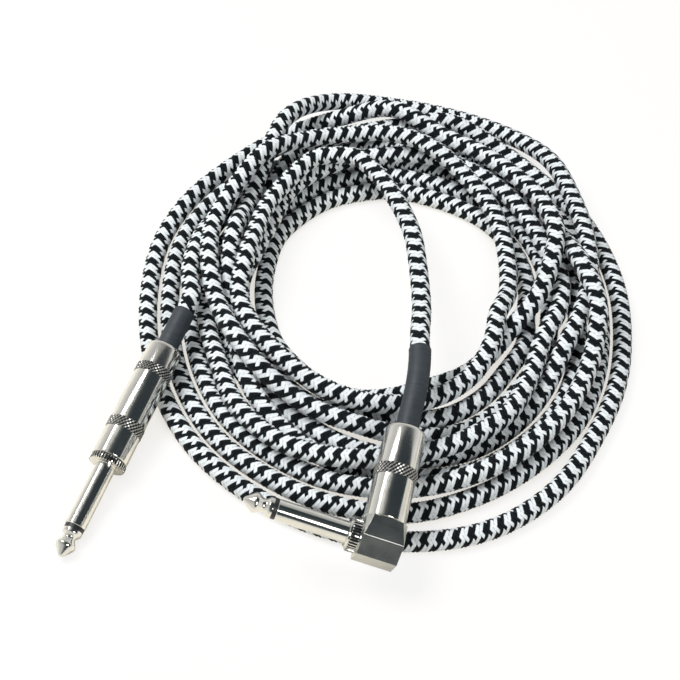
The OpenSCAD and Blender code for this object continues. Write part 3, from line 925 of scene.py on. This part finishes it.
class CABLE_OT_prongs(bpy.types.Operator):
    """Turn both prongs: tips, rings, sleeves, the toothed flange and the toothed collar"""

    bl_idname = "cable.prongs"
    bl_label = "Prongs"

    def execute(self, context):
        settings = context.scene.cable_plug
        plated = nickel("bright_nickel", settings.nickel, settings.polish)
        black = moulded("black_ring", tint(30, 30, 33), 0.4)
        steps = settings.turning_steps
        prongs = (("straight", STRAIGHT, 10.4), ("angled", ANGLED_PRONG, ANGLED_REACH + 0.6))
        for side, place, rod_end in prongs:
            tip = tip_outline(rod_end)
            piece = turned_piece(f"prong_tip_{side}", place, [tip], steps, "cable", plated)
            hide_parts(f"tip_{side}")
            ring = tube(1, TIP_BASE_R + 0.02, *TIP_RING, edge=0.08)
            piece = turned_piece(f"prong_ring_{side}", place, [ring], steps, "cable", black)
            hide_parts(f"tip_ring_{side}")
        self.straight_sleeve(plated)
        self.angled_sleeve(steps, plated)
        return {"FINISHED"}

    def straight_sleeve(self, plated):
        """The straight prong's sleeve, in one piece with its toothed flange and the thread behind it."""
        teeth, rim = 40, 5.9
        outline = [
            (1.8, TIP_RING[1]),
            (PRONG_R - 0.1, TIP_RING[1]),
            (PRONG_R, TIP_RING[1] + 0.1),
            (PRONG_R, -0.12),
            (PRONG_R + 0.12, 0),
            (rim - 0.5, 0),
            (rim - 0.12, 0.12),
            (rim, 0.3),
            (rim, 1.7),
            (rim - 0.12, 1.88),
            (rim - 0.5, 2),
            *threaded(4.2, 4.4, 2, 8)[1:-1],
            (1.8, 8),
        ]
        piece = turned_piece(
            "prong_sleeve_and_flange", STRAIGHT, [outline], 4 * teeth, "cable", plated,
            shape=lambda bm: cut_teeth(bm, rim - 0.2, 0.35, teeth),
        )
        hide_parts("prong_sleeve_straight")

    def angled_sleeve(self, steps, plated):
        """The right-angle prong's sleeve and neck, and the toothed collar between it and the block."""
        sleeve = [
            (1.8, TIP_RING[1]),
            (PRONG_R - 0.1, TIP_RING[1]),
            (PRONG_R, TIP_RING[1] + 0.1),
            (PRONG_R, 0),
            (4.15, 0),
            (4.3, 0.15),
            (4.3, 0.6),
            (2.9, 0.6),
            (2.9, 6.6),
            (1.8, 6.6),
        ]
        piece = turned_piece(
            "prong_sleeve_and_neck", ANGLED_PRONG, [sleeve], steps, "cable", plated
        )
        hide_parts("prong_sleeve_angled")
        teeth, rim = 36, 5.2
        collar = [
            (2.9, 0.6),
            (rim - 0.45, 0.6),
            (rim - 0.1, 0.7),
            (rim, 0.9),
            (rim, 3.0),
            (rim - 0.1, 3.2),
            (rim - 0.45, 3.3),
            (4.3, 3.3),
            (4.3, 3.7),
            (2.9, 3.7),
        ]
        piece = turned_piece(
            "toothed_collar", ANGLED_PRONG, [collar], 4 * teeth, "cable", plated,
            shape=lambda bm: cut_teeth(bm, rim - 0.15, 0.35, teeth),
        )
        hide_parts("toothed_collar_angled")


class CABLE_OT_block(bpy.types.Operator):
    """Cast the right-angle plug's block, with the thread that holds its shell"""

    bl_idname = "cable.block"
    bl_label = "Block"

    def execute(self, context):
        settings = context.scene.cable_plug
        bm = bmesh.new()
        for y, top_half, half, top, bottom in BLOCK_SECTIONS:
            corners = ((half, bottom), (half, top - BLOCK_FACET), (top_half, top))
            for x, z in corners:
                bm.verts.new((x, y, z))
                bm.verts.new((-x, y, z))
        bmesh.ops.convex_hull(bm, input=bm.verts)
        bmesh.ops.dissolve_limit(bm, angle_limit=math.radians(9), verts=bm.verts, edges=bm.edges)
        loose = [vert for vert in bm.verts if not vert.link_faces]
        bmesh.ops.delete(bm, geom=loose, context="VERTS")
        bevel = {"offset": settings.block_bevel / MM, "segments": 3, "profile": 0.5}
        bevel |= {"affect": "EDGES", "material": -1}
        bmesh.ops.bevel(bm, geom=bm.edges[:], clamp_overlap=True, **bevel)
        bm.transform(BARREL.inverted() @ ANGLED)
        turn_outline(bm, threaded(3, 4.4, -0.1, 6), settings.turning_steps)
        wrap(bm)
        stand(bm, BARREL)
        metal = cast("cast_nickel", settings.cast_nickel, 0.22)
        piece = finish_piece(bm, "body_block", "cable", [metal], crease=5)
        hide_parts("body_block_angled")
        return {"FINISHED"}


class CABLE_OT_shells(bpy.types.Operator):
    """Turn both screw-on shells and cut their knurled bands"""

    bl_idname = "cable.shells"
    bl_label = "Shells"

    def execute(self, context):
        settings = context.scene.cable_plug
        plated = nickel("shell_nickel", settings.nickel, settings.polish)
        cut = nickel("knurled_nickel", settings.nickel, settings.polish * 1.4)
        shells = (
            ("straight", STRAIGHT, STRAIGHT_SHELL_R, STRAIGHT_SHELL, ((11.4, 15.4), (32, 35.6))),
            ("angled", BARREL, ANGLED_SHELL_R, ANGLED_SHELL, ((13.4, 17.4),)),
        )
        for side, place, radius, ends, bands in shells:
            body, outline = f"{side}_shell", shell_outline(radius, *ends)
            piece = turned_piece(
                f"shell_{side}_turned",
                place,
                [outline],
                settings.turning_steps,
                body,
                plated,
            )
            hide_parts(f"shell_{side}")
            for count, (start, end) in enumerate(bands):
                knurl(f"knurl_{side}_{count + 1}", place, radius, start, end, settings, body, cut)
        return {"FINISHED"}


class CABLE_OT_sleeves(bpy.types.Operator):
    """Shrink the sleeves on the cord behind both shells"""

    bl_idname = "cable.sleeves"
    bl_label = "Sleeves"

    def execute(self, context):
        settings = context.scene.cable_plug
        rubber, steps = shrunk("heat_shrink", settings.sleeve), settings.turning_steps // 2
        outline = sleeve_outline(*STRAIGHT_SLEEVE)
        piece = turned_piece("sleeve_straight", STRAIGHT, [outline], steps, "cable", rubber)
        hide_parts("heat_shrink_straight")
        end = SLEEVE_TURN + SLEEVE_BEND_R * math.radians(SLEEVE_BEND)
        outline = sleeve_outline(ANGLED_SLEEVE_START, end)
        piece = turned_piece(
            "sleeve_angled", BARREL, [outline], steps, "cable", rubber, shape=bend_sleeve
        )
        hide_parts("heat_shrink_angled")
        return {"FINISHED"}


class CABLE_OT_insides(bpy.types.Operator):
    """Give the pieces inside the shells their finishes"""

    bl_idname = "cable.insides"
    bl_label = "Insides"

    def execute(self, context):
        brass = cast("brass", (0.72, 0.53, 0.26), 0.28)
        wire = cast("tinned_wire", (0.72, 0.72, 0.74), 0.35)
        solder = cast("solder", (0.60, 0.61, 0.62), 0.3)
        black = moulded("black_plastic", tint(28, 28, 31), 0.4)
        clear = moulded("clear_plastic", tint(225, 226, 220), 0.25, **{"Transmission Weight": 0.6})
        braided = moulded("cord_end", context.scene.cable_cord.dark, 0.85, grain=0.2 * MM)
        finishes = {
            "bright_nickel": nickel("plain_nickel", context.scene.cable_plug.nickel, 0.15),
            "heat_shrink": black,
            "brass": brass,
            "tinned_wire": wire,
            "solder": solder,
            "black_plastic": black,
            "clear_plastic": clear,
            "braided_cord": braided,
        }
        slots = {entry["node"]: entry["material_slot"] for entry in frame["record"]["subparts"]}
        for name, node in NODES.items():
            for slot in node.material_slots:
                slot.material = finishes[slots[name]]
        return {"FINISHED"}


class CABLE_OT_stage(bpy.types.Operator):
    """Lay the floor and set the lamps"""

    bl_idname = "cable.stage"
    bl_label = "Stage"

    def execute(self, context):
        settings = context.scene.cable_studio
        self.lay_floor(settings)
        self.light_world(context, settings)
        self.lamp(context, "key", KEY_PLACE, KEY_SIZE, settings.key)
        self.lamp(context, "front", FRONT_PLACE, FRONT_SIZE, settings.key * FRONT_SHARE)
        self.dark_ceiling(context, settings)
        return {"FINISHED"}

    def lay_floor(self, settings):
        bm = bmesh.new()
        bmesh.ops.create_grid(bm, x_segments=1, y_segments=1, size=FLOOR_HALF)
        bmesh.ops.translate(bm, verts=bm.verts, vec=(0, 0, -FLOOR_DROP))
        mesh = bpy.data.meshes.new("floor")
        bm.to_mesh(mesh)
        bm.free()
        floor = bpy.data.objects.new("floor", mesh)
        bpy.context.scene.collection.objects.link(floor)
        paper = Shader("paper", settings.floor, 0.9, **{"Specular IOR Level": 0.1})
        seen = paper.node("ShaderNodeLightPath", output="Is Camera Ray")
        nearby = {"Distance": 12 * MM}
        open_sky = paper.node("ShaderNodeAmbientOcclusion", {"samples": 8}, nearby, output="AO")
        # Painted shade: the floor's glow darkens towards the gap colour where the cable is near
        shade = paper.blend(open_sky.ramp(0, 0.6, 0, 1), settings.gap, (1, 1, 1))
        glow = paper.node("ShaderNodeEmission", {}, {"Color": shade, "Strength": 1.0})
        surface = Value(paper, paper.surface.outputs[0])
        mixed = paper.node("ShaderNodeMixShader", {}, {0: seen * 0.85, 1: surface, 2: glow})
        paper.tree.links.new(mixed.socket, paper.tree.nodes["Material Output"].inputs["Surface"])
        mesh.materials.append(paper.material)

    def light_world(self, context, settings):
        world = bpy.data.worlds.new("studio")
        context.scene.world = world
        world.use_nodes = True
        tree = world.node_tree
        background = tree.nodes["Background"]
        path = tree.nodes.new("ShaderNodeLightPath")
        where = tree.nodes.new("ShaderNodeTexCoord")
        split = tree.nodes.new("ShaderNodeSeparateXYZ")
        tree.links.new(where.outputs["Generated"], split.inputs[0])
        room = tree.nodes.new("ShaderNodeMapRange")
        for socket, value in (("From Max", 0.9), ("To Min", 1.0), ("To Max", settings.room)):
            room.inputs[socket].default_value = value
        tree.links.new(split.outputs["Z"], room.inputs["Value"])
        strength = None
        for ray in ("Glossy", "Transmission", "Camera"):
            step = tree.nodes.new("ShaderNodeMix")
            step.inputs["A"].default_value = settings.fill
            step.inputs["B"].default_value = 1
            tree.links.new(path.outputs[f"Is {ray} Ray"], step.inputs["Factor"])
            tree.links.new(strength or room.outputs[0], step.inputs["A" if strength else "B"])
            strength = step.outputs["Result"]
        background.inputs["Color"].default_value = (1, 1, 1, 1)
        tree.links.new(strength, background.inputs["Strength"])

    def lamp(self, context, name, place, size, power):
        data = bpy.data.lights.new(name, "AREA")
        data.shape = "DISK"
        data.size = size
        data.energy = power
        lamp = bpy.data.objects.new(name, data)
        lamp.location = place
        aim = Vector(LAMP_TARGET) - lamp.location
        lamp.rotation_euler = aim.to_track_quat("-Z", "Y").to_euler()
        context.scene.collection.objects.link(lamp)

    def dark_ceiling(self, context, settings):
        """A dark panel over and in front of the cable, which only polished metal shows."""
        bm = bmesh.new()
        bmesh.ops.create_grid(bm, x_segments=1, y_segments=1, size=1)
        bmesh.ops.scale(bm, vec=(CEILING_HALF, CEILING_REACH, 1), verts=bm.verts)
        bmesh.ops.translate(bm, vec=(CEILING_MIDDLE, CEILING_FORWARD, CEILING_HEIGHT), verts=bm.verts)
        mesh = bpy.data.meshes.new("dark_ceiling")
        bm.to_mesh(mesh)
        bm.free()
        panel = bpy.data.objects.new("dark_ceiling", mesh)
        context.scene.collection.objects.link(panel)
        panel.visible_camera = False
        panel.visible_diffuse = False
        panel.visible_shadow = False
        panel.visible_transmission = False
        felt = Shader("dark_felt", (0, 0, 0), 1.0, **{"Specular IOR Level": 0.0, "Emission Strength": 1.0})
        where = felt.node("ShaderNodeTexCoord", output="Object")
        split = felt.node("ShaderNodeSeparateXYZ", {}, {"Vector": where})
        off = (split - CEILING_MIDDLE).maths("ABSOLUTE")
        shade = off.ramp(CEILING_HALF * 0.5, CEILING_HALF, 0, 1)
        felt.set(**{"Emission Color": felt.blend(shade * shade, settings.ceiling, tint(160, 160, 152))})
        mesh.materials.append(felt.material)


class CABLE_PT_panel(bpy.types.Panel):
    """The cable's makers, in order"""

    bl_idname = "CABLE_PT_panel"
    bl_label = "Instrument cable"
    bl_space_type = "VIEW_3D"
    bl_region_type = "UI"
    bl_category = "Cable"

    def draw(self, context):
        for settings in (context.scene.cable_cord, context.scene.cable_plug, context.scene.cable_studio):
            box = self.layout.box()
            for name in settings.__annotations__:
                box.prop(settings, name)
        for operator in OPERATORS:
            self.layout.operator(operator.bl_idname)


SETTINGS = {"cable_cord": CordSettings, "cable_plug": PlugSettings, "cable_studio": StudioSettings}
OPERATORS = (
    CABLE_OT_camera,
    CABLE_OT_cord,
    CABLE_OT_prongs,
    CABLE_OT_block,
    CABLE_OT_shells,
    CABLE_OT_sleeves,
    CABLE_OT_insides,
    CABLE_OT_stage,
)


def register():
    for name, group in SETTINGS.items():
        bpy.utils.register_class(group)
        setattr(bpy.types.Scene, name, PointerProperty(type=group))
    for kind in (*OPERATORS, CABLE_PT_panel):
        bpy.utils.register_class(kind)


def unregister():
    for kind in (CABLE_PT_panel, *reversed(OPERATORS)):
        bpy.utils.unregister_class(kind)
    for name, group in SETTINGS.items():
        delattr(bpy.types.Scene, name)
        bpy.utils.unregister_class(group)


def main():
    register()
    bpy.context.scene.view_settings.view_transform = "Standard"
    for operator in OPERATORS:
        getattr(bpy.ops.cable, operator.bl_idname.split(".")[1])()


if __name__ == "__main__":
    main()
